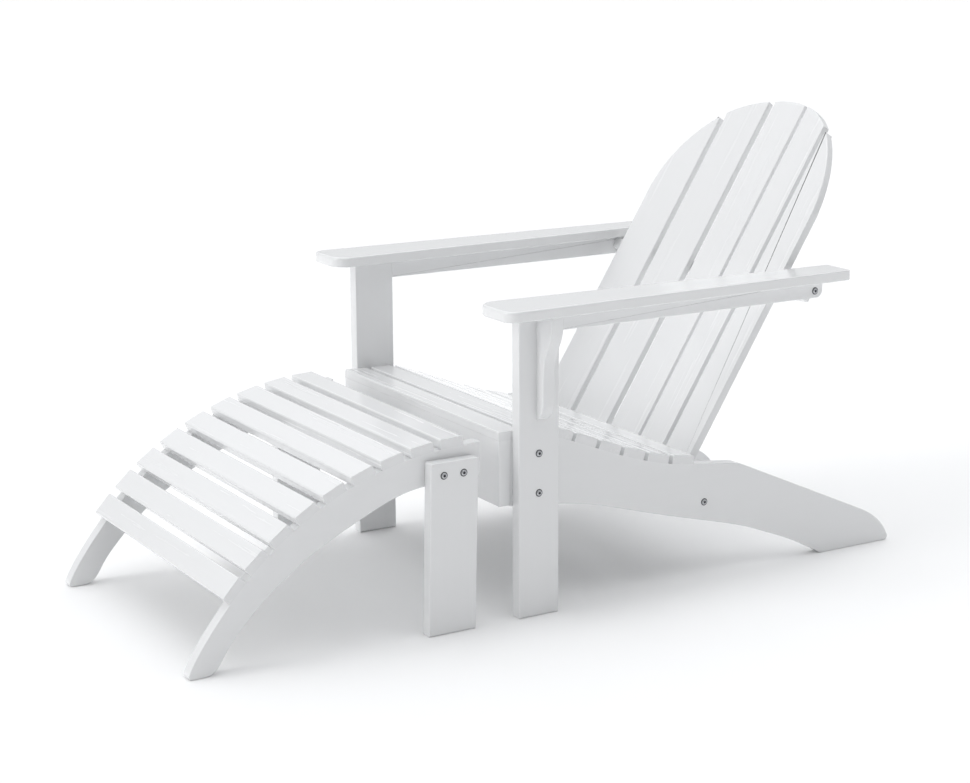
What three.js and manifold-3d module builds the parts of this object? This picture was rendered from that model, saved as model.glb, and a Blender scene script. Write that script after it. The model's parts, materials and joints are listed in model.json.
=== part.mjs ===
// Adirondack chair with its matching free-standing footrest.
// Millimetres, +Z up. Both pieces face -Y, and the sitter's left is +X.
// Heights are from the floor. Depths (Y) are from the front face of the chair's front legs, and the
// outer group moves them so that the origin is the middle of the whole set on the floor.
import * as THREE from "three";
import { mergeVertices } from "three/addons/utils/BufferGeometryUtils.js";
import Module from "manifold-3d";

const wasm = await Module();
wasm.setup();

const rad = THREE.MathUtils.degToRad;

// Shared boards
const BOARD = 25; // thickness of legs, stringers and footrest rails
const FRAME_HALF = 302; // outer face of the stringers and of the footrest rails
const LEG_OUT = FRAME_HALF + BOARD;
const EASE = 2.5; // rounding of a board's long edges
const GAP = 0.3; // play between boards that meet at an angle

// Seat
const SEAT_FRONT_Y = -27.5;
const SEAT_FRONT_Z = 351;
const SEAT_SLAT_W = 49.2;
const SEAT_SLAT_T = 17;
const SEAT_SLAT_GAP = 8.2;
const SEAT_TILTS = [1.5, 1.5, 19, 21.5, 21, 18.5, 15, 8]; // degrees down to the back, slat by slat

// Stringers and apron
const APRON_T = 24;
const APRON_BOTTOM_Z = 211;
const REAR_FOOT_START_Y = 734;
const REAR_FOOT_END_Y = 890;
const REAR_END_Y = 899;
const STEP_END_Y = 515;
const STEP_END_Z = 217;

// Front legs, arm rails and arms
const LEG_DEPTH = 85;
const ARM_UNDER_Z = 565;
const ARM_T = 20;
const ARM_FRONT_IN = 268;
const ARM_FRONT_OUT = 386;
const ARM_REAR_IN = 295;
const ARM_REAR_OUT = 368;
const ARM_FRONT_Y = -56;
const ARM_REAR_Y = 722;
const ARM_CORNER_IN = 45;
const ARM_CORNER_OUT = 28;
const ARM_CORNER_REAR = 8;
const RAIL_UNDER_Z = 529;
const RAIL_IN = 305;
const RAIL_END_Y = 687;
const BRACKET_T = 25;
const BRACKET_FRONT_Y = 36.5;

// Back: five flat slats set round a shallow hollow, reclined, under a half-round top.
// The middle slat faces forward, and the two pairs beside it stand further forward and turn inwards.
const BACK_RECLINE = 32.4;
const BACK_Y = 467;
const BACK_Z = 250;
const BACK_SLAT_W = 98;
const BACK_SLAT_T = 16;
const BACK_OFFSETS = [0, 110, 220];
const BACK_FORWARDS = [0, 11, 27];
const BACK_TURNS = [0, 9.4, 8.1];
const BACK_FOOT = -128;
const BACK_ARCH_CENTRE = 463;
const BACK_ARCH_R = 270;
const BRACE_T = 24;
const LOWER_BRACE_UP = -92;
const UPPER_BRACE_UP = 345;

// Footrest: nine slats on an arc
const REST_SLATS = 9;
const REST_SLAT_W = 46;
const REST_SLAT_T = 18;
const REST_R = 625;
const REST_CENTRE_Y = -95;
const REST_CENTRE_Z = -269.4;
const REST_FIRST_TILT = 47.7;
const REST_PITCH_DEG = 5.62;
const REST_FRONT_Y = -639;
const REST_REAR_Y = -67.5;
const REST_LEG_FRONT_Y = -188.5;
const REST_LEG_LEAN = 8;
const REST_LEG_DEPTH = 97;
const REST_LEG_TOP_Z = 319;

// Bolts
const BOLT_HEAD_R = 7;
const BOLT_HEAD_T = 2.6;
const BOLT_SHANK_R = 3.5;
const BOLT_SHANK = 20;
const SOCKET_ACROSS = 5;
const SOCKET_DEPTH = 1.9;
const LEG_BOLT_Y = 42;
const LEG_BOLT_ZS = [308, 234];
const STRINGER_BOLT = [432, 151];
const RAIL_BOLT = [668, 543];
const REST_BOLT_YS = [-155, -115];
const REST_BOLT_Z = 295;

const SET_MIDDLE_Y = (REST_FRONT_Y + REAR_END_Y) / 2;

// Painted wood in a few near-white tones, and the plated bolts
const paint = (colour) => new THREE.MeshStandardMaterial({ color: colour, roughness: 0.35, metalness: 0 });
const FRAME_PAINT = 0xf1f1ee;
const SLAT_PAINT = 0xf4f4f1;
const BACK_PAINT = 0xf5f5f2;
const steel = () => new THREE.MeshStandardMaterial({ color: 0x8d9095, roughness: 0.38, metalness: 1 });

function named(name, geometry, material) {
  const mesh = new THREE.Mesh(geometry, material);
  mesh.name = name;
  return mesh;
}

function group(name, ...children) {
  const made = new THREE.Group();
  made.name = name;
  made.add(...children);
  return made;
}

// A board cut to an outline, its face edges eased by `ease`; it runs from 0 to `thickness` along +Z.
function board(outline, thickness, ease = EASE, curveSegments = 6, bevelSegments = 2) {
  const geometry = new THREE.ExtrudeGeometry(outline, {
    depth: thickness - 2 * ease,
    bevelEnabled: true,
    bevelThickness: ease,
    bevelSize: ease,
    bevelOffset: -ease,
    bevelSegments,
    curveSegments,
  });
  return geometry.translate(0, 0, ease);
}

// Turns a board drawn in (Y, Z) so that its thickness runs along +X.
function sideways(mesh, x) {
  mesh.rotation.set(Math.PI / 2, Math.PI / 2, 0);
  mesh.position.x = x;
  return mesh;
}

// Turns a board drawn in (X, Z) so that its thickness runs from rearY towards -Y.
function upright(mesh, rearY) {
  mesh.rotation.x = Math.PI / 2;
  mesh.position.y = rearY;
  return mesh;
}

function rectangle(x0, y0, x1, y1) {
  const s = new THREE.Shape();
  s.moveTo(x0, y0);
  s.lineTo(x1, y0);
  s.lineTo(x1, y1);
  s.lineTo(x0, y1);
  return s;
}

// A slat's cross-section: underside from (0, -t) to (w, -t), its top edges rounded more than its lower ones.
function slatSection(w, t, top, low) {
  const s = new THREE.Shape();
  s.moveTo(low, -t);
  s.lineTo(w - low, -t);
  s.absarc(w - low, low - t, low, -Math.PI / 2, 0, false);
  s.lineTo(w, -top);
  s.absarc(w - top, -top, top, 0, Math.PI / 2, false);
  s.lineTo(top, 0);
  s.absarc(top, -top, top, Math.PI / 2, Math.PI, false);
  s.lineTo(0, low - t);
  s.absarc(low, low - t, low, Math.PI, 1.5 * Math.PI, false);
  return s;
}

// One slat across the frame. (y, z) is its front top edge and `tilt` how far it falls to the back.
function crossSlat(name, w, t, y, z, tilt, topRound) {
  const section = slatSection(w, t, topRound, 2);
  const mesh = named(name, board(section, 2 * FRAME_HALF, 1.2, 2, 1), paint(SLAT_PAINT));
  const turned = group(`${name}_place`, sideways(mesh, -FRAME_HALF));
  turned.position.set(0, y, z);
  turned.rotation.x = -tilt;
  return turned;
}

// ---- solids for the bored holes ----

function solid(geometry) {
  const bare = geometry.index ? geometry.toNonIndexed() : geometry.clone();
  bare.deleteAttribute("normal");
  bare.deleteAttribute("uv");
  const merged = mergeVertices(bare, 1e-4);
  return new wasm.Manifold(
    new wasm.Mesh({
      numProp: 3,
      vertProperties: merged.attributes.position.array,
      triVerts: new Uint32Array(merged.index.array),
    }),
  );
}

function geometryOf(manifold) {
  const made = manifold.getMesh();
  const geometry = new THREE.BufferGeometry();
  geometry.setAttribute("position", new THREE.BufferAttribute(new Float32Array(made.vertProperties), 3));
  geometry.setIndex(new THREE.BufferAttribute(new Uint32Array(made.triVerts), 1));
  geometry.computeVertexNormals();
  return geometry;
}

// Bores holes along the thickness of a board drawn in its own plane, from either face.
function bored(geometry, centres, from, to) {
  let body = solid(geometry);
  for (const [x, y] of centres) {
    const drill = new THREE.CylinderGeometry(BOLT_SHANK_R + GAP, BOLT_SHANK_R + GAP, to - from, 16);
    drill.rotateX(Math.PI / 2);
    drill.translate(x, y, (from + to) / 2);
    body = body.subtract(solid(drill));
  }
  return geometryOf(body);
}

// ---- bolts ----

// A low flanged head with a hexagon socket and a short shank; the head's underside is at 0, facing +Z.
function boltGeometry() {
  const r = BOLT_HEAD_R;
  const t = BOLT_HEAD_T;
  const profile = new THREE.Path();
  profile.moveTo(0, -BOLT_SHANK);
  profile.lineTo(BOLT_SHANK_R, -BOLT_SHANK);
  profile.lineTo(BOLT_SHANK_R, 0);
  profile.lineTo(r, 0);
  profile.lineTo(r, t * 0.4);
  profile.quadraticCurveTo(r * 0.86, t * 0.95, r * 0.55, t);
  profile.lineTo(0, t);
  const head = new THREE.LatheGeometry(profile.getPoints(3), 18);
  head.rotateX(Math.PI / 2);
  const socket = new THREE.CylinderGeometry(SOCKET_ACROSS / 1.732, SOCKET_ACROSS / 1.732, 4, 6);
  socket.rotateX(Math.PI / 2);
  socket.translate(0, 0, t - SOCKET_DEPTH + 2);
  return geometryOf(solid(head).subtract(solid(socket)));
}

// side +1 puts the head on a face that looks along +X, -1 on one that looks along -X.
function bolt(name, side, x, y, z) {
  const mesh = named(name, boltGeometry(), steel());
  mesh.rotation.y = (side * Math.PI) / 2;
  mesh.position.set(side * x, y, z);
  return mesh;
}

// ---- seat ----

// Where each seat slat starts and how far it tilts, chained from the front edge to the back.
function seatLayout() {
  const places = [];
  let y = SEAT_FRONT_Y;
  let z = SEAT_FRONT_Z;
  SEAT_TILTS.forEach((degrees, i) => {
    const tilt = rad(degrees);
    places.push({ y, z, tilt });
    const next = rad(SEAT_TILTS[i + 1] ?? degrees);
    const between = (tilt + next) / 2;
    y += SEAT_SLAT_W * Math.cos(tilt) + SEAT_SLAT_GAP * Math.cos(between);
    z -= SEAT_SLAT_W * Math.sin(tilt) + SEAT_SLAT_GAP * Math.sin(between);
  });
  return places;
}

// A point `along` a slat from its front top edge and `down` through its thickness.
function onSlat(place, along, down) {
  const { y, z, tilt } = place;
  return [
    y + along * Math.cos(tilt) - down * Math.sin(tilt),
    z - along * Math.sin(tilt) - down * Math.cos(tilt),
  ];
}

function seatSlats() {
  return seatLayout().map((p, i) =>
    crossSlat(`seat_slat_${i + 1}`, SEAT_SLAT_W, SEAT_SLAT_T, p.y, p.z, p.tilt, 5),
  );
}

// ---- chair frame ----

const STRINGER_FRONT_Y = SEAT_FRONT_Y + APRON_T + GAP;

// The stringer is the seat's side and the chair's rear leg in one board.
function stringerOutline() {
  const places = seatLayout();
  const s = new THREE.Shape();
  const [, firstZ] = onSlat(places[0], STRINGER_FRONT_Y - SEAT_FRONT_Y, SEAT_SLAT_T + GAP);
  s.moveTo(STRINGER_FRONT_Y, 209);
  s.lineTo(STRINGER_FRONT_Y, firstZ);
  places.forEach((place, i) => {
    const bed = SEAT_SLAT_T + GAP;
    if (i > 0) s.lineTo(...onSlat(place, 0, bed));
    s.lineTo(...onSlat(place, SEAT_SLAT_W, bed));
  });
  s.lineTo(STEP_END_Y - 14, STEP_END_Z + 2);
  s.quadraticCurveTo(STEP_END_Y, STEP_END_Z, STEP_END_Y + 14, STEP_END_Z - 7);
  s.lineTo(826, 76);
  s.bezierCurveTo(858, 61, 884, 42, REAR_END_Y, 10);
  s.quadraticCurveTo(REAR_END_Y, 0, REAR_FOOT_END_Y, 0);
  s.lineTo(REAR_FOOT_START_Y, 0);
  s.quadraticCurveTo(723, 0, 713, 7);
  s.splineThru([
    new THREE.Vector2(650, 39),
    new THREE.Vector2(580, 68),
    new THREE.Vector2(510, 93),
    new THREE.Vector2(375, 129),
    new THREE.Vector2(302, 149),
    new THREE.Vector2(186, 182),
    new THREE.Vector2(100, 198),
    new THREE.Vector2(STRINGER_FRONT_Y, 209),
  ]);
  return s;
}

function stringer(name, side) {
  const plain = board(stringerOutline(), BOARD, EASE, 3);
  const drilled = side > 0 ? [BOARD - BOLT_SHANK - GAP, BOARD + 1] : [-1, BOLT_SHANK + GAP];
  const geometry = bored(plain, [STRINGER_BOLT], ...drilled);
  return sideways(named(name, geometry, paint(FRAME_PAINT)), side > 0 ? FRAME_HALF - BOARD : -FRAME_HALF);
}

function apron() {
  const outline = rectangle(-FRAME_HALF, APRON_BOTTOM_Z, FRAME_HALF, SEAT_FRONT_Z - SEAT_SLAT_T - 1.5);
  const mesh = named("front_apron", board(outline, APRON_T), paint(FRAME_PAINT));
  return upright(mesh, SEAT_FRONT_Y + APRON_T);
}

function frontLeg(name, side) {
  const plain = board(rectangle(0, 0, LEG_DEPTH, ARM_UNDER_Z), BOARD);
  const drilled = side > 0 ? [BOARD - BOLT_SHANK - GAP, BOARD + 1] : [-1, BOLT_SHANK + GAP];
  const geometry = bored(plain, LEG_BOLT_ZS.map((z) => [LEG_BOLT_Y, z]), ...drilled);
  return sideways(named(name, geometry, paint(FRAME_PAINT)), side > 0 ? FRAME_HALF : -LEG_OUT);
}

function railOutline() {
  const s = new THREE.Shape();
  s.moveTo(LEG_DEPTH, RAIL_UNDER_Z);
  s.lineTo(RAIL_END_Y - 14, RAIL_UNDER_Z);
  s.absarc(RAIL_END_Y - 14, RAIL_UNDER_Z + 14, 14, -Math.PI / 2, 0, false);
  s.lineTo(RAIL_END_Y, ARM_UNDER_Z);
  s.lineTo(LEG_DEPTH, ARM_UNDER_Z);
  return s;
}

function armRail(name, side) {
  const thickness = LEG_OUT - RAIL_IN;
  const plain = board(railOutline(), thickness);
  const drilled = side > 0 ? [thickness - BOLT_SHANK - GAP, thickness + 1] : [-1, BOLT_SHANK + GAP];
  const geometry = bored(plain, [RAIL_BOLT], ...drilled);
  return sideways(named(name, geometry, paint(FRAME_PAINT)), side > 0 ? RAIL_IN : -LEG_OUT);
}

// Plan of an arm: well rounded at the front, narrower towards the rear.
function armOutline(side) {
  const inner = (y) => side * between(ARM_FRONT_IN, ARM_REAR_IN, y);
  const outer = (y) => side * between(ARM_FRONT_OUT, ARM_REAR_OUT, y);
  const front = ARM_FRONT_Y;
  const rear = ARM_REAR_Y;
  const r = ARM_CORNER_REAR;
  const s = new THREE.Shape();
  s.moveTo(inner(front) + side * ARM_CORNER_IN, front);
  s.lineTo(outer(front) - side * ARM_CORNER_OUT, front);
  s.quadraticCurveTo(outer(front), front, outer(front + ARM_CORNER_OUT), front + ARM_CORNER_OUT);
  s.lineTo(outer(rear - r), rear - r);
  s.quadraticCurveTo(outer(rear), rear, outer(rear) - side * r, rear);
  s.lineTo(inner(rear) + side * r, rear);
  s.quadraticCurveTo(inner(rear), rear, inner(rear - r), rear - r);
  s.lineTo(inner(front + ARM_CORNER_IN), front + ARM_CORNER_IN);
  s.quadraticCurveTo(inner(front), front, inner(front) + side * ARM_CORNER_IN, front);
  return s;
}

// How far out an edge of the arm is at depth y, on its straight way from its front to its rear.
function between(atFront, atRear, y) {
  return atFront + ((atRear - atFront) * (y - ARM_FRONT_Y)) / (ARM_REAR_Y - ARM_FRONT_Y);
}

function arm(name, side) {
  const mesh = named(name, board(armOutline(side), ARM_T, 3, 6), paint(SLAT_PAINT));
  mesh.position.z = ARM_UNDER_Z;
  return mesh;
}

// The bracket under the arm, on the outer face of the leg, drawn from the front: flared out to the arm's
// edge at its top, straight below, and rounded in to the leg at its foot.
function bracketOutline(side) {
  const x = (out) => side * (LEG_OUT + out);
  const s = new THREE.Shape();
  s.moveTo(x(0), 371);
  s.bezierCurveTo(x(12), 376, x(22), 386, x(22), 408);
  s.lineTo(x(23), 448);
  s.bezierCurveTo(x(24), 492, x(34), 500, x(43), 518);
  s.bezierCurveTo(x(50), 532, x(52), 546, x(52), ARM_UNDER_Z);
  s.lineTo(x(0), ARM_UNDER_Z);
  return s;
}

function bracket(name, side) {
  const mesh = named(name, board(bracketOutline(side), BRACKET_T, 2, 6), paint(FRAME_PAINT));
  return upright(mesh, BRACKET_FRONT_Y + BRACKET_T);
}

// ---- back ----

// Where back slat i (-2 to 2) stands: its middle across, how far back it is, and its turn.
function backPlace(i) {
  const side = Math.sign(i);
  const step = Math.abs(i);
  return { x: side * BACK_OFFSETS[step], y: -BACK_FORWARDS[step], turn: side * rad(BACK_TURNS[step]) };
}

// Outline of back slat i in its own plane, its top cut to the half-round arch.
function backSlatOutline(i) {
  const { x: centre, turn } = backPlace(i);
  const half = BACK_SLAT_W / 2;
  const steps = 8;
  const s = new THREE.Shape();
  s.moveTo(-half, BACK_FOOT);
  s.lineTo(half, BACK_FOOT);
  for (let k = 0; k <= steps; k += 1) {
    const x = half - (BACK_SLAT_W * k) / steps;
    const u = centre + x * Math.cos(turn);
    const rise = Math.sqrt(Math.max(BACK_ARCH_R ** 2 - u ** 2, 0));
    s.lineTo(x, BACK_ARCH_CENTRE + rise);
  }
  return s;
}

function backSlat(i) {
  const mesh = named(`back_slat_${i + 3}`, board(backSlatOutline(i), BACK_SLAT_T), paint(BACK_PAINT));
  const turned = group(`back_slat_${i + 3}_place`, upright(mesh, BACK_SLAT_T));
  const { x, y, turn } = backPlace(i);
  turned.position.set(x, y, 0);
  turned.rotation.z = -turn;
  return turned;
}

// A point on the rear face of back slat i, `along` it from its middle.
function behindSlat(i, along) {
  const { x, y, turn } = backPlace(i);
  const depth = BACK_SLAT_T + GAP;
  return [
    x + along * Math.cos(turn) + depth * Math.sin(turn),
    y - along * Math.sin(turn) + depth * Math.cos(turn),
  ];
}

// A bowed brace behind the slats: its front edge follows their rear faces, its rear edge is an arc.
function braceOutline(half, endDepth, middleDepth) {
  const { x, turn } = backPlace(2);
  const reach = (half - x - (BACK_SLAT_T + GAP) * Math.sin(turn)) / Math.cos(turn);
  const s = new THREE.Shape();
  s.moveTo(...behindSlat(-2, -reach));
  for (const i of [-2, -1, 0, 1, 2]) {
    if (i > -2) s.lineTo(...behindSlat(i, -BACK_SLAT_W / 2));
    if (i < 2) s.lineTo(...behindSlat(i, BACK_SLAT_W / 2));
  }
  s.lineTo(...behindSlat(2, reach));
  s.lineTo(half, endDepth);
  s.quadraticCurveTo(0, 2 * middleDepth - endDepth, -half, endDepth);
  return s;
}

function brace(name, up, half, endDepth, middleDepth) {
  const outline = braceOutline(half, endDepth, middleDepth);
  const mesh = named(name, board(outline, BRACE_T, 2, 10), paint(FRAME_PAINT));
  mesh.position.z = up - BRACE_T / 2;
  return mesh;
}

function back() {
  const slats = [-2, -1, 0, 1, 2].map(backSlat);
  const lower = brace("back_brace_lower", LOWER_BRACE_UP, FRAME_HALF - BOARD, 48, 72);
  const upper = brace("back_brace_upper", UPPER_BRACE_UP, RAIL_IN, 28, 56);
  const made = group("back", ...slats, lower, upper);
  made.position.set(0, BACK_Y, BACK_Z);
  made.rotation.x = -rad(BACK_RECLINE);
  return made;
}

function chair() {
  const sides = [["left", 1], ["right", -1]].flatMap(([word, side]) => [
    frontLeg(`front_leg_${word}`, side),
    stringer(`side_stringer_${word}`, side),
    armRail(`arm_rail_${word}`, side),
    arm(`arm_${word}`, side),
    bracket(`arm_bracket_${word}`, side),
    ...LEG_BOLT_ZS.map((z, k) => bolt(`leg_bolt_${word}_${k + 1}`, side, LEG_OUT, LEG_BOLT_Y, z)),
    bolt(`stringer_bolt_${word}`, side, FRAME_HALF, ...STRINGER_BOLT),
    bolt(`rail_bolt_${word}`, side, LEG_OUT, ...RAIL_BOLT),
  ]);
  return group("chair", ...sides, apron(), ...seatSlats(), back());
}

// ---- footrest ----

function restTilt(i) {
  return rad(REST_FIRST_TILT - REST_PITCH_DEG * i);
}

// A point on the footrest's arc at angle `tilt` from the crown, `down` below the slats' top face.
function onRest(tilt, down, along = 0) {
  const r = REST_R - down;
  return [
    REST_CENTRE_Y - r * Math.sin(tilt) + along * Math.cos(tilt),
    REST_CENTRE_Z + r * Math.cos(tilt) + along * Math.sin(tilt),
  ];
}

function restSlats() {
  return Array.from({ length: REST_SLATS }, (_, i) => {
    const tilt = restTilt(i);
    const [y, z] = onRest(tilt, 0, -REST_SLAT_W / 2);
    return crossSlat(`footrest_slat_${i + 1}`, REST_SLAT_W, REST_SLAT_T, y, z, -tilt, 4.5);
  });
}

// The arched rail: its top follows the slats, its front end is a foot on the floor.
function restRailOutline() {
  const s = new THREE.Shape();
  s.moveTo(REST_FRONT_Y + 7, 0);
  s.quadraticCurveTo(REST_FRONT_Y, 0, REST_FRONT_Y, 8);
  s.quadraticCurveTo(-627, 31, ...onRest(restTilt(0), REST_SLAT_T + GAP, -REST_SLAT_W / 2));
  for (let i = 0; i < REST_SLATS; i += 1) {
    const tilt = restTilt(i);
    if (i > 0) s.lineTo(...onRest(tilt, REST_SLAT_T + GAP, -REST_SLAT_W / 2));
    s.lineTo(...onRest(tilt, REST_SLAT_T + GAP, REST_SLAT_W / 2));
  }
  s.lineTo(REST_REAR_Y, 340);
  s.lineTo(REST_REAR_Y, 277);
  s.splineThru([
    new THREE.Vector2(-183, 272),
    new THREE.Vector2(-245, 258),
    new THREE.Vector2(-309, 231),
    new THREE.Vector2(-384, 194),
    new THREE.Vector2(-446, 155),
    new THREE.Vector2(-503, 109),
    new THREE.Vector2(-554, 56),
    new THREE.Vector2(-580, 18),
  ]);
  s.quadraticCurveTo(-592, 0, -612, 0);
  return s;
}

function restRail(name, side) {
  const mesh = named(name, board(restRailOutline(), BOARD, EASE, 3), paint(FRAME_PAINT));
  return sideways(mesh, side > 0 ? FRAME_HALF - BOARD : -FRAME_HALF);
}

// The footrest's leg leans back a little: its top is further back than its foot.
function restLegOutline() {
  const front = REST_LEG_FRONT_Y;
  const s = new THREE.Shape();
  s.moveTo(front, 0);
  s.lineTo(front + REST_LEG_DEPTH, 0);
  s.lineTo(front + REST_LEG_DEPTH + REST_LEG_LEAN, REST_LEG_TOP_Z);
  s.lineTo(front + REST_LEG_LEAN, REST_LEG_TOP_Z);
  return s;
}

function restLeg(name, side) {
  const plain = board(restLegOutline(), BOARD, 3);
  const drilled = side > 0 ? [BOARD - BOLT_SHANK - GAP, BOARD + 1] : [-1, BOLT_SHANK + GAP];
  const geometry = bored(plain, REST_BOLT_YS.map((y) => [y, REST_BOLT_Z]), ...drilled);
  return sideways(named(name, geometry, paint(FRAME_PAINT)), side > 0 ? FRAME_HALF : -LEG_OUT);
}

function footrest() {
  const sides = [["left", 1], ["right", -1]].flatMap(([word, side]) => [
    restRail(`footrest_rail_${word}`, side),
    restLeg(`footrest_leg_${word}`, side),
    ...REST_BOLT_YS.map((y, k) => bolt(`footrest_bolt_${word}_${k + 1}`, side, LEG_OUT, y, REST_BOLT_Z)),
  ]);
  return group("footrest", ...sides, ...restSlats());
}

const set = group("adirondack_chair_and_footrest", chair(), footrest());
set.position.y = -SET_MIDDLE_Y;

export default group("part", set);
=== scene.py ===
"""The look of a white-painted adirondack chair and its footrest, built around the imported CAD.

Every board is made here again with rounded edges and its own grain, and stands for its CAD node.
Outlines are in millimetres. Depths are from the front face of the chair's front legs, which the frame
gives.
"""
import json
import math

import bpy
from mathutils import Matrix, Vector


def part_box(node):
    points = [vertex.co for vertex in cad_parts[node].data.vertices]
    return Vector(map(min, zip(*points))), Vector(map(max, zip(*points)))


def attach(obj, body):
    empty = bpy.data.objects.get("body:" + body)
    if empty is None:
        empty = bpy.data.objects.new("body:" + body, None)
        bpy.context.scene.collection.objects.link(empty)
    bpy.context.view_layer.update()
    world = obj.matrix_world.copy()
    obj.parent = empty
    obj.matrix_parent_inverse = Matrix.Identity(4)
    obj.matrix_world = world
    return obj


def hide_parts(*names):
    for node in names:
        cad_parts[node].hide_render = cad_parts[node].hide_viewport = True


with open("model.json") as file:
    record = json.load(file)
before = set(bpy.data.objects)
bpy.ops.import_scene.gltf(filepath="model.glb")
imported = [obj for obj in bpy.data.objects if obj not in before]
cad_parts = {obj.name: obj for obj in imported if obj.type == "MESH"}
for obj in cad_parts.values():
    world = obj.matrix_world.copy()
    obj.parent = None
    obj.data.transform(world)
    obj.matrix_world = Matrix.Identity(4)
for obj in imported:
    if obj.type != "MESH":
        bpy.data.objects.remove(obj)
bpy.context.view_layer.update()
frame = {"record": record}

MM = 0.001
SIDES = (("left", 1), ("right", -1))

# Driving dimensions that the frame doesn't state, in millimetres and degrees. Slats are (width, thickness).
SEAT_SLAT = (49.2, 17.0)
SEAT_TILTS = (1.5, 1.5, 19, 21.5, 21, 18.5, 15, 8)
REST_SLAT = (46.0, 18.0)
REST_SLATS = 9
REST_FIRST_TILT = 47.7
REST_PITCH_DEG = 5.62
REST_LEG_LEAN = 8.0
ARM_TAPER = (27.0, 18.0)
BED_GAP = 0.02

# Radii of the boards' rounded edges
SLAT_TOP_ROUND = 3.2
SLAT_LOW_ROUND = 0.7
SLAT_END_EDGE = 0.8
BOARD_EDGE = 2.4
JOINT_EDGE = 0.04
TIGHT_EDGE = 3.6
APRON_TOP_EDGE = 0.3
ARM_TOP_EDGE = 2.2
ARM_LOW_EDGE = 3.0
BACK_EDGE = 2.6
BRACE_EDGE = 2.0

# Radii of the corners of the arms and of the arm rails' lower rear corner
ARM_FRONT_IN_R = 34
ARM_FRONT_OUT_R = 24
ARM_REAR_R = 6
RAIL_REAR_R = 14

# The arm's top edge is rounder by this much in front of that depth, and fades to nothing over that run
ARM_FRONT_EXTRA = 2.6
ARM_FRONT_END = 10
ARM_FRONT_RUN = 50

# Where the boards' edges meet other boards
SEAT_JOINT_UP = 222
SEAT_JOINT_BACK = 425
APRON_JOINT_UP = 220
BRACKET_JOINT_UP = 560
REST_ARC_CENTRE = (-95, -269.4)
REST_JOINT_R = 604
REST_JOINT_FRONT = -566

# The back, in its own reclined frame
BACK_RECLINE = 32.4
BACK_SLAT_W = 98.0
BACK_SLAT_T = 16.0
BACK_OFFSETS = (0.0, 110.0, 220.0)
BACK_FORWARDS = (0.0, 11.0, 27.0)
BACK_TURNS = (0.0, 9.4, 8.1)
BACK_ARCH_R = 270.0
BACK_ARCH_CENTRE = 463.0
BACK_FOOT = -128.0
BACK_Y = 467.0
BACK_Z = 250.0
BRACE_T = 24.0
LOWER_BRACE_UP = -92.0
UPPER_BRACE_UP = 345.0

# Where the fitted camera stands, in metres, and how it looks
CAMERA_AT = (3.4547, -2.0534, 1.2973)
CAMERA_YAW = 59.357
CAMERA_DOWN = 13.320
CAMERA_ROLL = -0.286
CAMERA_LENS = 78.70

# The studio's soft glows, each as direction, strength and narrowness
GLOWS = (((0, 0, 1), 1.42, 3), ((-1, 0, 0), 0.56, 1), ((0, 0.7, 0.7), 0.50, 1))
GLOW_TINT = (0.975, 0.985, 1.0)

# The studio's keys, each as energy, spread, azimuth and height
LOW_KEY = (1.06, 50, -8, 10)
HIGH_KEY = (0.36, 20, -10, 36)


# ---------------------------------------------------------------- frame readings

def low(node):
    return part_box(node)[0]


def high(node):
    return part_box(node)[1]


def middle(node):
    a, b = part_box(node)
    return (Vector(a) + Vector(b)) / 2


DATUM_Y = low("front_leg_left")[1]


# ---------------------------------------------------------------- outlines

def fillet(outline, segments=5):
    """Rounds each (x, y, r) corner of a closed outline to its own radius. (x, y) corners stay sharp."""
    made = []
    count = len(outline)
    for i, corner in enumerate(outline):
        p = Vector(corner[:2])
        r = corner[2] if len(corner) > 2 else 0
        a = (Vector(outline[i - 1][:2]) - p).normalized()
        b = (Vector(outline[(i + 1) % count][:2]) - p).normalized()
        half = a.angle(b) / 2
        if r <= 0 or half > math.radians(88):
            made.append(tuple(p))
            continue
        reach = r / math.tan(half)
        centre = p + (a + b).normalized() * (r / math.sin(half))
        start = p + a * reach - centre
        end = p + b * reach - centre
        turn = start.angle_signed(end)
        for k in range(segments + 1):
            angle = -turn * k / segments
            spun = Matrix.Rotation(angle, 2) @ start
            made.append(tuple(centre + spun))
    return made


def bezier(p0, p1, p2, p3, steps=12):
    """Points on a cubic curve from p0 to p3, without p0 itself."""
    points = []
    for k in range(1, steps + 1):
        t = k / steps
        u = 1 - t
        weights = (u ** 3, 3 * u * u * t, 3 * u * t * t, t ** 3)
        pairs = list(zip(weights, (p0, p1, p2, p3)))
        points.append(tuple(sum(w * p[i] for w, p in pairs) for i in (0, 1)))
    return points


def through(points, steps=6):
    """A smooth curve through the given points, without the first of them."""
    made = []
    last = len(points) - 1
    for i in range(last):
        p0, p1, p2, p3 = (Vector(points[max(0, min(last, i + k))]) for k in (-1, 0, 1, 2))
        for k in range(1, steps + 1):
            t = k / steps
            spot = 0.5 * (2 * p1 + (p2 - p0) * t + (2 * p0 - 5 * p1 + 4 * p2 - p3) * t ** 2
                          + (3 * p1 - p0 - 3 * p2 + p3) * t ** 3)
            made.append(tuple(spot))
    return made


def area(loop):
    return sum(a[0] * b[1] - b[0] * a[1] for a, b in zip(loop, loop[1:] + loop[:1])) / 2


def cleaned(loop):
    """The loop without doubled points, running anticlockwise."""
    kept = []
    for p in loop:
        if not kept or math.dist(p, kept[-1]) > 0.05:
            kept.append(p)
    if math.dist(kept[0], kept[-1]) <= 0.05:
        kept.pop()
    return kept if area(kept) > 0 else kept[::-1]


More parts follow.
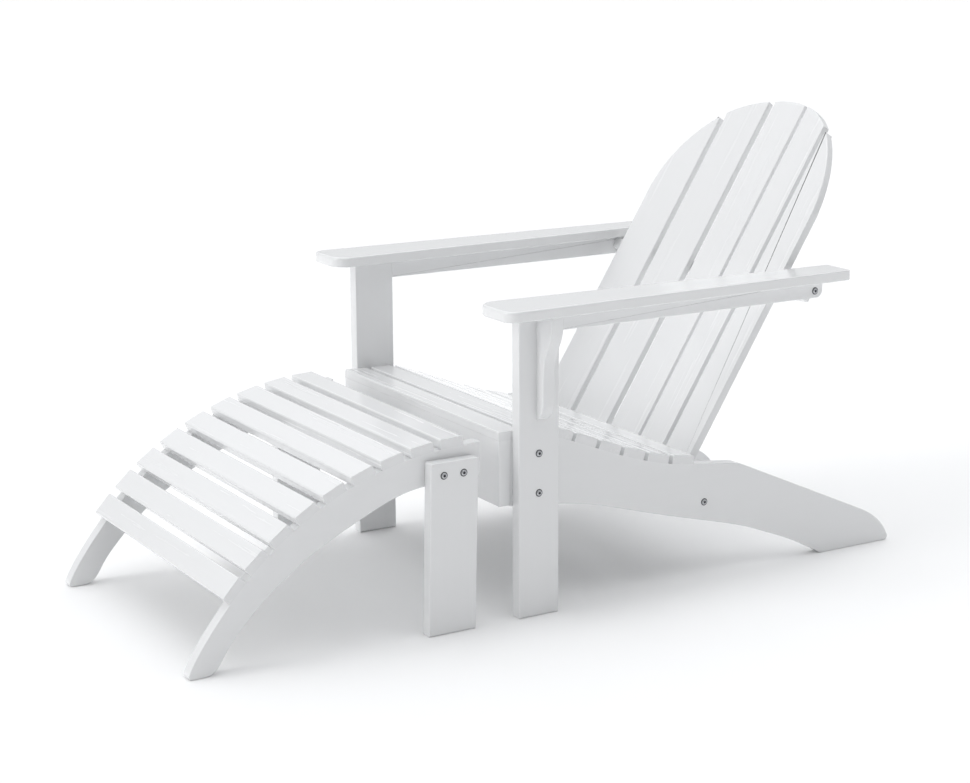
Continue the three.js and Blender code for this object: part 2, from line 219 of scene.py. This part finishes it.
def inset(loop, distances):
    """The loop moved inwards by each point's own distance."""
    made = []
    count = len(loop)
    for i, p in enumerate(loop):
        before = Vector(p) - Vector(loop[i - 1])
        after = Vector(loop[(i + 1) % count]) - Vector(p)
        n1 = Vector((-before.y, before.x)).normalized()
        n2 = Vector((-after.y, after.x)).normalized()
        push = (n1 + n2) / max(0.25, 1 + n1.dot(n2))
        made.append((p[0] + push.x * distances[i], p[1] + push.y * distances[i]))
    return made


# ---------------------------------------------------------------- meshes

def loft(name, rings, materials):
    """A closed mesh from rings of equally many (x, y, z) points in metres, with flat caps."""
    count = len(rings[0])
    verts = [p for ring in rings for p in ring]
    faces = [list(range(count))[::-1]]
    for k in range(len(rings) - 1):
        a = k * count
        b = a + count
        faces += [[a + i, a + (i + 1) % count, b + (i + 1) % count, b + i] for i in range(count)]
    faces.append([len(verts) - count + i for i in range(count)])
    mesh = bpy.data.meshes.new(name)
    mesh.from_pydata(verts, [], faces)
    last_cap = len(faces) - 1
    for polygon in mesh.polygons:
        polygon.use_smooth = 0 < polygon.index < last_cap
    for material in materials:
        mesh.materials.append(material)
    made = bpy.data.objects.new(name, mesh)
    bpy.context.scene.collection.objects.link(made)
    return made


def board(name, outline, thickness, edge, material, segments=4, edge_under=None):
    """A flat board from an outline in its own plane, all its edges rounded over.
    edge is the rounding's radius, or a function that gives it for a point of the outline.
    edge_under is the radius on the face that the board is built up from, when that differs."""
    loop = cleaned(outline)
    radii = [edge(x, y) if callable(edge) else edge for x, y in loop]
    radii_under = radii if edge_under is None else [edge_under] * len(loop)
    steps = [math.pi / 2 * k / segments for k in range(segments + 1)]
    rings = [rounded_ring(loop, radii_under, angle) for angle in steps]
    over = [rounded_ring(loop, radii, angle) for angle in reversed(steps)]
    rings += [[(x, y, thickness - up) for x, y, up in ring] for ring in over]
    made = loft(name, [[(x * MM, y * MM, up * MM) for x, y, up in ring] for ring in rings], [material])
    weigh(made)
    return made


def rounded_ring(loop, radii, angle):
    """The loop part of the way round its edge rounding: moved inwards, and up from the board's face."""
    inward = inset(loop, [r * (1 - math.sin(angle)) for r in radii])
    return [(x, y, r * (1 - math.cos(angle))) for (x, y), r in zip(inward, radii)]


def weigh(made):
    """Flat faces shade flat and the roundings between them shade smooth."""
    made.data.set_sharp_from_angle(angle=math.radians(40))
    modifier = made.modifiers.new("weighted_normals", "WEIGHTED_NORMAL")
    modifier.weight = 100
    modifier.keep_sharp = True


# A board drawn in (Y, Z) with its thickness along +X, and one drawn in (X, Z) with it towards -Y
SIDEWAYS = Matrix(((0, 0, 1, 0), (1, 0, 0, 0), (0, 1, 0, 0), (0, 0, 0, 1)))
UPRIGHT = Matrix(((1, 0, 0, 0), (0, 0, -1, 0), (0, 1, 0, 0), (0, 0, 0, 1)))


def install(made, place, node):
    """Puts a finished piece in place, gives it its body and hides the CAD node that it stands for."""
    made.matrix_world = place
    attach(made, body_of_node[node])
    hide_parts(node)


body_of_node = {
    node: body for body, nodes in frame["record"]["behaviour"]["bodies"].items() for node in nodes
}


# ---------------------------------------------------------------- materials

def new_material(name):
    """A material with its node tree and its shader."""
    material = bpy.data.materials.new(name)
    material.use_nodes = True
    tree = material.node_tree
    return material, tree, tree.nodes["Principled BSDF"]


def link(tree, source, target):
    tree.links.new(source, target)


def blend(tree, factor, first, second):
    """A colour that goes from the first to the second with the factor."""
    made = tree.nodes.new("ShaderNodeMix")
    made.data_type = "RGBA"
    made.inputs["A"].default_value = (*first, 1)
    made.inputs["B"].default_value = (*second, 1)
    link(tree, factor, made.inputs["Factor"])
    return made.outputs["Result"]


def noise(tree, vector, scale, detail, roughness=0.55):
    made = tree.nodes.new("ShaderNodeTexNoise")
    made.inputs["Scale"].default_value = scale
    made.inputs["Detail"].default_value = detail
    made.inputs["Roughness"].default_value = roughness
    link(tree, vector, made.inputs["Vector"])
    return made.outputs["Fac"]


def remap(tree, value, from_low, from_high, to_low, to_high):
    made = tree.nodes.new("ShaderNodeMapRange")
    made.inputs["From Min"].default_value = from_low
    made.inputs["From Max"].default_value = from_high
    made.inputs["To Min"].default_value = to_low
    made.inputs["To Max"].default_value = to_high
    link(tree, value, made.inputs["Value"])
    return made.outputs["Result"]


def grain_vector(tree, grain, along, across):
    """Object coordinates stretched along the board's grain, and shifted so that no two boards match."""
    place = tree.nodes.new("ShaderNodeTexCoord")
    own = tree.nodes.new("ShaderNodeObjectInfo")
    shift = tree.nodes.new("ShaderNodeVectorMath")
    shift.operation = "MULTIPLY_ADD"
    shift.inputs[1].default_value = (along if grain == "x" else across,
                                     along if grain == "y" else across,
                                     along if grain == "z" else across)
    link(tree, place.outputs["Object"], shift.inputs[0])
    spread = tree.nodes.new("ShaderNodeMath")
    spread.operation = "MULTIPLY"
    spread.inputs[1].default_value = 57.0
    link(tree, own.outputs["Random"], spread.inputs[0])
    link(tree, spread.outputs["Value"], shift.inputs[2])
    return shift.outputs["Vector"]


def bump(tree, height, distance, strength, under=None):
    made = tree.nodes.new("ShaderNodeBump")
    made.inputs["Distance"].default_value = distance
    made.inputs["Strength"].default_value = strength
    link(tree, height, made.inputs["Height"])
    if under:
        link(tree, under, made.inputs["Normal"])
    return made.outputs["Normal"]


def paint(name, grain, tone, gloss):
    """White paint brushed and rubbed down on planed wood: the grain shows faintly under it."""
    material, tree, shader = new_material(name)
    figure = noise(tree, grain_vector(tree, grain, 2.0, 60.0), 1.0, 6.0, 0.65)
    pores = noise(tree, grain_vector(tree, grain, 16.0, 700.0), 1.0, 3.0, 0.6)
    peel = noise(tree, grain_vector(tree, grain, 300.0, 300.0), 1.0, 1.0)

    darker = [c * 0.975 for c in tone]
    link(tree, blend(tree, figure, tone, darker), shader.inputs["Base Color"])
    link(tree, remap(tree, figure, 0.2, 0.8, gloss - 0.02, gloss + 0.03), shader.inputs["Roughness"])

    relief = bump(tree, figure, 0.00008, 0.04)
    relief = bump(tree, pores, 0.00004, 0.025, relief)
    relief = bump(tree, peel, 0.00004, 0.06, relief)
    link(tree, relief, shader.inputs["Normal"])
    shader.inputs["Specular IOR Level"].default_value = 0.5
    shader.inputs["Coat Weight"].default_value = 1.0
    shader.inputs["Coat Roughness"].default_value = 0.12
    return material


def steel(name, tone, roughness):
    """Steel with a fine tooled surface in the given tone: zinc plating, or near black as the bolts' painted
    shade.
    """
    material, tree, shader = new_material(name)
    place = tree.nodes.new("ShaderNodeTexCoord").outputs["Object"]
    blotch = noise(tree, place, 420.0, 3.0)
    tooled = noise(tree, place, 2600.0, 2.0)
    factor = remap(tree, blotch, 0.3, 0.7, 0.0, 1.0)
    darker = [c * 0.82 for c in tone]
    link(tree, blend(tree, factor, darker, tone), shader.inputs["Base Color"])
    worn = remap(tree, blotch, 0.3, 0.7, roughness + 0.08, roughness - 0.05)
    link(tree, worn, shader.inputs["Roughness"])
    link(tree, bump(tree, tooled, 0.00005, 0.3), shader.inputs["Normal"])
    shader.inputs["Metallic"].default_value = 1.0
    return material


WHITE = (0.86, 0.865, 0.87)
FRAME_X = paint("frame_paint_grain_x", "x", WHITE, 0.30)
FRAME_Y = paint("frame_paint_grain_y", "y", WHITE, 0.30)
SLAT_Z = paint("slat_paint_grain_z", "z", WHITE, 0.26)
ARM_Y = paint("arm_paint_grain_y", "y", WHITE, 0.22)
BACK_PAINT = paint("back_paint_grain_y", "y", WHITE, 0.26)
ZINC = steel("bolt_steel", (0.62, 0.63, 0.65), 0.30)
# Near-black steel is painted shade: the dark inside of each hex socket and the shadowed ring round each
# head's flange.
BOLT_PAINTED_SHADE = steel("bolt_painted_shade_steel", (0.10, 0.10, 0.11), 0.50)


# ---------------------------------------------------------------- slats

def section(width, thickness):
    """A slat's cross-section round its middle: a generous round on the top edges, a small one below."""
    w = width / 2
    t = thickness / 2
    top = SLAT_TOP_ROUND
    bottom = SLAT_LOW_ROUND
    return fillet([(-w, -t, bottom), (w, -t, bottom), (w, t, top), (-w, t, top)], 6)


def slat_end_edge(_, up):
    """The ends' edges are eased on top and sharp below, where the paint runs over on to the frame."""
    return SLAT_END_EDGE if up > 0 else JOINT_EDGE


def slat(node, size, tilt):
    """A slat across the frame, tilted down to the back by `tilt` degrees, where its CAD node is."""
    length = (high(node)[0] - low(node)[0]) / MM
    made = board(f"{node}_wood", section(*size), length, slat_end_edge, SLAT_Z, 3)
    turn = Matrix.Rotation(math.radians(-tilt), 4, "X")
    centre = Matrix.Translation(middle(node))
    install(made, centre @ turn @ SIDEWAYS @ Matrix.Translation((0, 0, -length * MM / 2)), node)


def bed(node, size, tilt):
    """The two ends of the line that a slat rests on, as (depth, height) in millimetres."""
    centre = middle(node)
    y = (centre.y - DATUM_Y) / MM
    z = centre.z / MM
    a = math.radians(tilt)
    down = size[1] / 2 + BED_GAP
    along = size[0] / 2
    return [(y + k * along * math.cos(a) - down * math.sin(a),
             z - k * along * math.sin(a) - down * math.cos(a)) for k in (-1, 1)]


def rest_tilt(i):
    return REST_PITCH_DEG * i - REST_FIRST_TILT


def all_slats():
    for i, tilt in enumerate(SEAT_TILTS):
        slat(f"seat_slat_{i + 1}", SEAT_SLAT, tilt)
    for i in range(REST_SLATS):
        slat(f"footrest_slat_{i + 1}", REST_SLAT, rest_tilt(i))


# ---------------------------------------------------------------- chair frame

def sideways_board(node, outline, edge, material, edge_inside=None):
    """A board drawn in (Y, Z) that is as thick as its CAD node and stands where it stands.
    edge_inside is the rounding of its face towards the middle of the chair, when that differs."""
    a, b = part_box(node)
    thick = (b[0] - a[0]) / MM
    if a[0] > 0 or edge_inside is None:
        made = board(f"{node}_wood", outline, thick, edge, material, 4, edge_inside)
    else:
        made = board(f"{node}_wood", outline, thick, edge_inside, material, 4, edge)
    install(made, Matrix.Translation((a[0], DATUM_Y, 0)) @ SIDEWAYS, node)


def post(node, lean=0):
    """A leg: a board on end, its top further back than its foot by the lean."""
    a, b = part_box(node)
    y0 = (a[1] - DATUM_Y) / MM
    y1 = (b[1] - DATUM_Y) / MM
    z1 = b[2] / MM
    outline = [(y0, 0, 2), (y1 - lean, 0, 2), (y1, z1, 4), (y0 + lean, z1, 4)]
    sideways_board(node, fillet(outline), BOARD_EDGE, FRAME_Y, TIGHT_EDGE if lean else None)


def seat_joint(depth, height):
    """Where the stringer meets the slats or the apron, its edge is left sharp and painted over."""
    under_slats = height > SEAT_JOINT_UP and depth < SEAT_JOINT_BACK
    return JOINT_EDGE if under_slats or depth < 0 else BOARD_EDGE


def stringer(node):
    """The seat's side and the rear leg in one board, its top cut to the slats."""
    front = (high("front_apron")[1] - DATUM_Y) / MM + BED_GAP
    top = [(front, bed("seat_slat_1", SEAT_SLAT, SEAT_TILTS[0])[0][1])]
    for i, tilt in enumerate(SEAT_TILTS):
        ends = bed(f"seat_slat_{i + 1}", SEAT_SLAT, tilt)
        top += ends if i else ends[1:]
    step = [(501, 219)] + bezier((501, 219), (510, 218), (519, 214), (529, 210), 6)
    heel = [(826, 76)] + bezier((826, 76), (858, 61), (884, 42), (899, 10), 14)
    toe = bezier((899, 10), (899, 3), (896, 0), (890, 0), 5)
    sole = [(734, 0)] + bezier((734, 0), (724, 0), (719, 2), (713, 7), 4)
    belly = [(713, 7), (650, 39), (580, 68), (510, 93), (375, 129),
             (302, 149), (186, 182), (100, 198), (front, 209)]
    sideways_board(node, top + step + heel + toe + sole + through(belly), seat_joint, FRAME_X)


def arm_rail(node):
    a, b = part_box(node)
    y0 = (a[1] - DATUM_Y) / MM
    y1 = (b[1] - DATUM_Y) / MM
    z0 = a[2] / MM
    z1 = b[2] / MM
    outline = fillet([(y0, z0, 2), (y1, z0, RAIL_REAR_R), (y1, z1, 2), (y0, z1, 2)], 8)
    sideways_board(node, outline, BOARD_EDGE, FRAME_X)


def arm(node, side):
    """A broad flat arm, well rounded in front and narrower towards its rear."""
    a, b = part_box(node)
    inner = min(abs(a[0]), abs(b[0])) / MM
    outer = max(abs(a[0]), abs(b[0])) / MM
    front = (a[1] - DATUM_Y) / MM
    rear = (b[1] - DATUM_Y) / MM
    outline = fillet([(inner, front, ARM_FRONT_IN_R), (outer, front, ARM_FRONT_OUT_R),
                      (outer - ARM_TAPER[1], rear, ARM_REAR_R),
                      (inner + ARM_TAPER[0], rear, ARM_REAR_R)], 10)
    made = board(f"{node}_wood", [(side * x, y) for x, y in outline], (b[2] - a[2]) / MM,
                 arm_edge, ARM_Y, 5, ARM_LOW_EDGE)
    install(made, Matrix.Translation((0, DATUM_Y, a[2])), node)


def arm_edge(_, y):
    """The arm's top edge is rounded more round its front than along its sides."""
    return ARM_TOP_EDGE + ARM_FRONT_EXTRA * max(0.0, min(1.0, (ARM_FRONT_END - y) / ARM_FRONT_RUN))


def bracket_edge(x, z):
    """Sharp where the bracket meets the leg and the arm, rounded elsewhere."""
    return JOINT_EDGE if abs(x) < 0.5 or z > BRACKET_JOINT_UP else BOARD_EDGE


def bracket(node, side):
    """The shaped block under the arm, flared at its top and rounded in to the leg at its foot."""
    a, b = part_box(node)
    top = b[2] / MM
    reach = (b[0] - a[0]) / MM
    outline = [(0, 371)] + bezier((0, 371), (12, 376), (22, 386), (22, 408), 10)
    outline += [(23, 448)] + bezier((23, 448), (24, 492), (34, 500), (43, 518), 12)
    outline += bezier((43, 518), (50, 532), (reach, 546), (reach, top), 8)
    outline.append((0, top))
    inner = a[0] if side > 0 else b[0]
    turned = [(side * x, z) for x, z in outline]
    made = board(f"{node}_wood", turned, (b[1] - a[1]) / MM, bracket_edge, FRAME_Y)
    install(made, Matrix.Translation((inner, b[1], 0)) @ UPRIGHT, node)


def apron_edge(_, z):
    """Nearly sharp along the top, under the first slat."""
    return BOARD_EDGE if z < APRON_JOINT_UP else APRON_TOP_EDGE


def apron():
    """The board across the front, its top edge tight under the first slat."""
    node = "front_apron"
    a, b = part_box(node)
    half = b[0] / MM
    top = bed("seat_slat_1", SEAT_SLAT, SEAT_TILTS[0])[0][1]
    bottom = a[2] / MM
    outline = fillet([(-half, bottom, 2.5), (half, bottom, 2.5), (half, top, 0.5), (-half, top, 0.5)])
    made = board(f"{node}_wood", outline, (b[1] - a[1]) / MM, apron_edge, FRAME_X)
    install(made, Matrix.Translation((0, b[1], 0)) @ UPRIGHT, node)


# ---------------------------------------------------------------- back

BACK_PLACE = (Matrix.Translation((0, DATUM_Y + BACK_Y * MM, BACK_Z * MM))
              @ Matrix.Rotation(math.radians(-BACK_RECLINE), 4, "X"))


def back_spot(i):
    """Where back slat -2 to 2 stands: its middle across, how far back it is, and its turn."""
    side = (i > 0) - (i < 0)
    step = abs(i)
    return side * BACK_OFFSETS[step], -BACK_FORWARDS[step], side * math.radians(BACK_TURNS[step])


def back_slat(i):
    """Back slat -2 to 2 from the right: its top is its share of the half-round arch."""
    node = f"back_slat_{i + 3}"
    across, back_by, turn = back_spot(i)
    half = BACK_SLAT_W / 2
    steps = 24

    def arch(x):
        u = across + x * math.cos(turn)
        return BACK_ARCH_CENTRE + math.sqrt(max(BACK_ARCH_R ** 2 - u * u, 0))

    across_top = [half - BACK_SLAT_W * k / steps for k in range(1, steps)]
    outline = [(-half, BACK_FOOT, 3), (half, BACK_FOOT, 3), (half, arch(half), 3)]
    outline += [(x, arch(x)) for x in across_top]
    outline.append((-half, arch(-half), 3))
    made = board(f"{node}_wood", fillet(outline, 4), BACK_SLAT_T, BACK_EDGE, BACK_PAINT)
    spot = Matrix.Translation((across * MM, back_by * MM, 0)) @ Matrix.Rotation(-turn, 4, "Z")
    face = Matrix.Translation((0, BACK_SLAT_T * MM, 0)) @ UPRIGHT
    install(made, BACK_PLACE @ spot @ face, node)


def behind_slat(i, along):
    """A point just clear of back slat i's rear face, `along` it from its middle."""
    across, back_by, turn = back_spot(i)
    depth = BACK_SLAT_T + BED_GAP
    return (across + along * math.cos(turn) + depth * math.sin(turn),
            back_by - along * math.sin(turn) + depth * math.cos(turn))


def brace(node, up, end_depth, middle_depth):
    """A bowed cross board behind the slats."""
    half = high(node)[0] / MM
    across, _, turn = back_spot(2)
    reach = (half - across - (BACK_SLAT_T + BED_GAP) * math.sin(turn)) / math.cos(turn)
    edge_of_slat = BACK_SLAT_W / 2
    between = [behind_slat(i, k * edge_of_slat) for i in range(-2, 3) for k in (-1, 1)]
    outline = [behind_slat(-2, -reach)] + between[1:-1] + [behind_slat(2, reach)]
    bow = 4 / 3 * (middle_depth - end_depth) + end_depth
    outline.append((half, end_depth))
    outline += bezier((half, end_depth), (half / 3, bow), (-half / 3, bow), (-half, end_depth), 28)
    made = board(f"{node}_wood", outline, BRACE_T, BRACE_EDGE, FRAME_X)
    lift = Matrix.Translation((0, 0, (up - BRACE_T / 2) * MM))
    install(made, BACK_PLACE @ lift, node)


def back():
    for i in range(-2, 3):
        back_slat(i)
    brace("back_brace_lower", LOWER_BRACE_UP, 48, 72)
    brace("back_brace_upper", UPPER_BRACE_UP, 28, 56)


# ---------------------------------------------------------------- footrest

def rest_joint(depth, height):
    """The rail's edge is sharp and painted over under the slats, and rounded elsewhere."""
    from_centre = math.hypot(depth - REST_ARC_CENTRE[0], height - REST_ARC_CENTRE[1])
    return JOINT_EDGE if from_centre > REST_JOINT_R and depth > REST_JOINT_FRONT else BOARD_EDGE


def rest_rail(node):
    """The arched rail: slats along its top, a foot at its front end."""
    ends = [bed(f"footrest_slat_{i + 1}", REST_SLAT, rest_tilt(i)) for i in range(REST_SLATS)]
    front = (low(node)[1] - DATUM_Y) / MM
    rear = (high(node)[1] - DATUM_Y) / MM
    toe = [(front + 7, 0)] + bezier((front + 7, 0), (front + 2, 0), (front, 3), (front, 8), 5)
    shin = bezier((front, 8), (front + 7, 26), (-606, 68), ends[0][0], 10)
    top = [p for pair in ends for p in pair][1:]
    tail = [(rear, 340), (rear, 277)]
    arch = [(rear, 277), (-183, 272), (-245, 258), (-309, 231), (-384, 194),
            (-446, 155), (-503, 109), (-554, 56), (-580, 18)]
    sole = bezier((-580, 18), (-588, 6), (-598, 0), (-612, 0), 8)
    sideways_board(node, toe + shin + top + tail + through(arch) + sole, rest_joint, FRAME_X)


# ---------------------------------------------------------------- bolts

HEAD_R = 7.0
HEAD_T = 2.6
SHANK_R = 3.5
SOCKET_FLAT = 2.5
SOCKET_DEPTH = 1.9
SOCKET_EASE = 0.25
SOCKET_TIP = (1.2, 0.45)
DOME_FLAT_R = 3.4
DOME_R = 2.0
DOME_FOOT = 0.6
DOME_STEPS = 6
BOLT_SIDES = 48

# The flange's outline from its underside up, as how far it is inside the head's radius, and its height
FLANGE = ((0.2, 0), (0, 0.15), (0, 0.5), (0.2, 0.7), (1.3, 0.75), (1.5, 0.35))


def bolt_angles():
    return [2 * math.pi * k / BOLT_SIDES for k in range(BOLT_SIDES)]


def around(radius, angle, height):
    return (radius * math.cos(angle) * MM, radius * math.sin(angle) * MM, height * MM)


def circle(radius, height):
    return [around(radius, angle, height) for angle in bolt_angles()]


def hexagon(flat, height):
    """A hexagon whose flats are `flat` from the middle, with as many points as the circles."""
    points = []
    for angle in bolt_angles():
        from_flat = (angle + math.pi / 6) % (math.pi / 3) - math.pi / 6
        points.append(around(flat / math.cos(from_flat), angle, height))
    return points


def bolt(node, side):
    """A low flanged button head with a hexagon socket."""
    a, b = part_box(node)
    length = (b[0] - a[0]) / MM
    seat = b[0] - HEAD_T * MM if side > 0 else a[0] + HEAD_T * MM
    rings = [circle(SHANK_R, HEAD_T - length), circle(SHANK_R, 0)]
    rings += [circle(HEAD_R - inside, height) for inside, height in FLANGE]
    last_flange = len(rings) - 2
    for k in range(DOME_STEPS + 1):
        angle = math.pi / 2 * k / DOME_STEPS
        height = DOME_FOOT + (HEAD_T - DOME_FOOT) * math.sin(angle)
        rings.append(circle(DOME_FLAT_R + DOME_R * math.cos(angle), height))
    rings.append(hexagon(SOCKET_FLAT + SOCKET_EASE, HEAD_T))
    rings.append(hexagon(SOCKET_FLAT, HEAD_T - SOCKET_EASE))
    first_painted_shade_ring = len(rings) - 1
    rings.append(hexagon(SOCKET_FLAT, HEAD_T - SOCKET_DEPTH))
    rings.append(circle(SOCKET_TIP[0], HEAD_T - SOCKET_DEPTH - SOCKET_TIP[1]))
    made = loft(f"{node}_steel", rings, [ZINC, BOLT_PAINTED_SHADE])
    # The socket's inside, the flange and the hidden shank take the near-black steel: painted shade in the
    # hex recess and round the head.
    for polygon in made.data.polygons:
        ring = (polygon.index - 1) // BOLT_SIDES
        painted_shade = ring >= first_painted_shade_ring or ring <= last_flange
        polygon.material_index = 1 if painted_shade else 0
    made.data.set_sharp_from_angle(angle=math.radians(35))
    centre = middle(node)
    turn = Matrix.Rotation(side * math.pi / 2, 4, "Y")
    install(made, Matrix.Translation((seat, centre.y, centre.z)) @ turn, node)


# ---------------------------------------------------------------- assembly

def build():
    all_slats()
    apron()
    back()
    for word, side in SIDES:
        post(f"front_leg_{word}")
        post(f"footrest_leg_{word}", REST_LEG_LEAN)
        stringer(f"side_stringer_{word}")
        rest_rail(f"footrest_rail_{word}")
        arm_rail(f"arm_rail_{word}")
        arm(f"arm_{word}", side)
        bracket(f"arm_bracket_{word}", side)
    for node in body_of_node:
        if "bolt" in node:
            bolt(node, 1 if "left" in node else -1)


# ---------------------------------------------------------------- room

def floor():
    """A plain pale floor that runs out of sight."""
    mesh = bpy.data.meshes.new("studio_floor")
    reach = 60
    square = [(-reach, -reach, 0), (reach, -reach, 0), (reach, reach, 0), (-reach, reach, 0)]
    mesh.from_pydata(square, [], [[0, 1, 2, 3]])
    made = bpy.data.objects.new("studio_floor", mesh)
    bpy.context.scene.collection.objects.link(made)
    material, tree, shader = new_material("studio_floor")
    place = tree.nodes.new("ShaderNodeTexCoord").outputs["Object"]
    mottle = noise(tree, place, 3.0, 2.0)
    link(tree, blend(tree, mottle, (0.985,) * 3, (0.995,) * 3), shader.inputs["Base Color"])
    shader.inputs["Roughness"].default_value = 0.9
    shader.inputs["Specular IOR Level"].default_value = 0.1
    mesh.materials.append(material)


def sun(name, energy, spread, azimuth, elevation):
    """A soft distant light. It comes from `azimuth` degrees round from -Y towards +X, and as high
    above the floor as `elevation` says."""
    data = bpy.data.lights.new(name, "SUN")
    data.energy = energy
    data.angle = math.radians(spread)
    made = bpy.data.objects.new(name, data)
    made.rotation_euler = (math.radians(90 - elevation), 0, math.radians(azimuth))
    bpy.context.scene.collection.objects.link(made)


def lights():
    """A white studio that is darker on the chair's near side, with soft keys from in front."""
    world = bpy.data.worlds.new("studio")
    bpy.context.scene.world = world
    world.use_nodes = True
    tree = world.node_tree
    background = tree.nodes["Background"]
    background.inputs["Color"].default_value = (*GLOW_TINT, 1)
    place = tree.nodes.new("ShaderNodeTexCoord").outputs["Generated"]
    glow = None
    for towards, strength, narrowness in GLOWS:
        glow = lobe(tree, place, towards, strength, narrowness, glow)
    link(tree, glow, background.inputs["Strength"])
    sun("low_key", *LOW_KEY)
    sun("high_key", *HIGH_KEY)


def lobe(tree, place, towards, strength, narrowness, rest):
    """A soft glow on top of the rest: strongest in one direction and gone at right angles to it."""
    facing = tree.nodes.new("ShaderNodeVectorMath")
    facing.operation = "DOT_PRODUCT"
    facing.inputs[1].default_value = towards
    link(tree, place, facing.inputs[0])
    power = tree.nodes.new("ShaderNodeMath")
    power.operation = "POWER"
    power.inputs[1].default_value = narrowness
    link(tree, remap(tree, facing.outputs["Value"], 0, 1, 0, 1), power.inputs[0])
    glow = tree.nodes.new("ShaderNodeMath")
    glow.operation = "MULTIPLY_ADD"
    glow.inputs[1].default_value = strength
    glow.inputs[2].default_value = 0
    link(tree, power.outputs["Value"], glow.inputs[0])
    if rest is not None:
        link(tree, rest, glow.inputs[2])
    return glow.outputs["Value"]


def camera():
    data = bpy.data.cameras.new("photo_view")
    data.lens = CAMERA_LENS
    data.sensor_width = 36
    data.clip_end = 200
    made = bpy.data.objects.new("photo_view", data)
    bpy.context.scene.collection.objects.link(made)
    yaw = Matrix.Rotation(math.radians(CAMERA_YAW), 4, "Z")
    down = Matrix.Rotation(math.radians(90 - CAMERA_DOWN), 4, "X")
    roll = Matrix.Rotation(math.radians(CAMERA_ROLL), 4, "Z")
    made.matrix_world = Matrix.Translation(CAMERA_AT) @ (yaw @ down) @ roll
    bpy.context.scene.camera = made


def plain_view():
    """Tones come out as they are lit."""
    settings = bpy.context.scene.view_settings
    settings.view_transform = "Standard"
    settings.look = "None"


build()
floor()
lights()
camera()
plain_view()
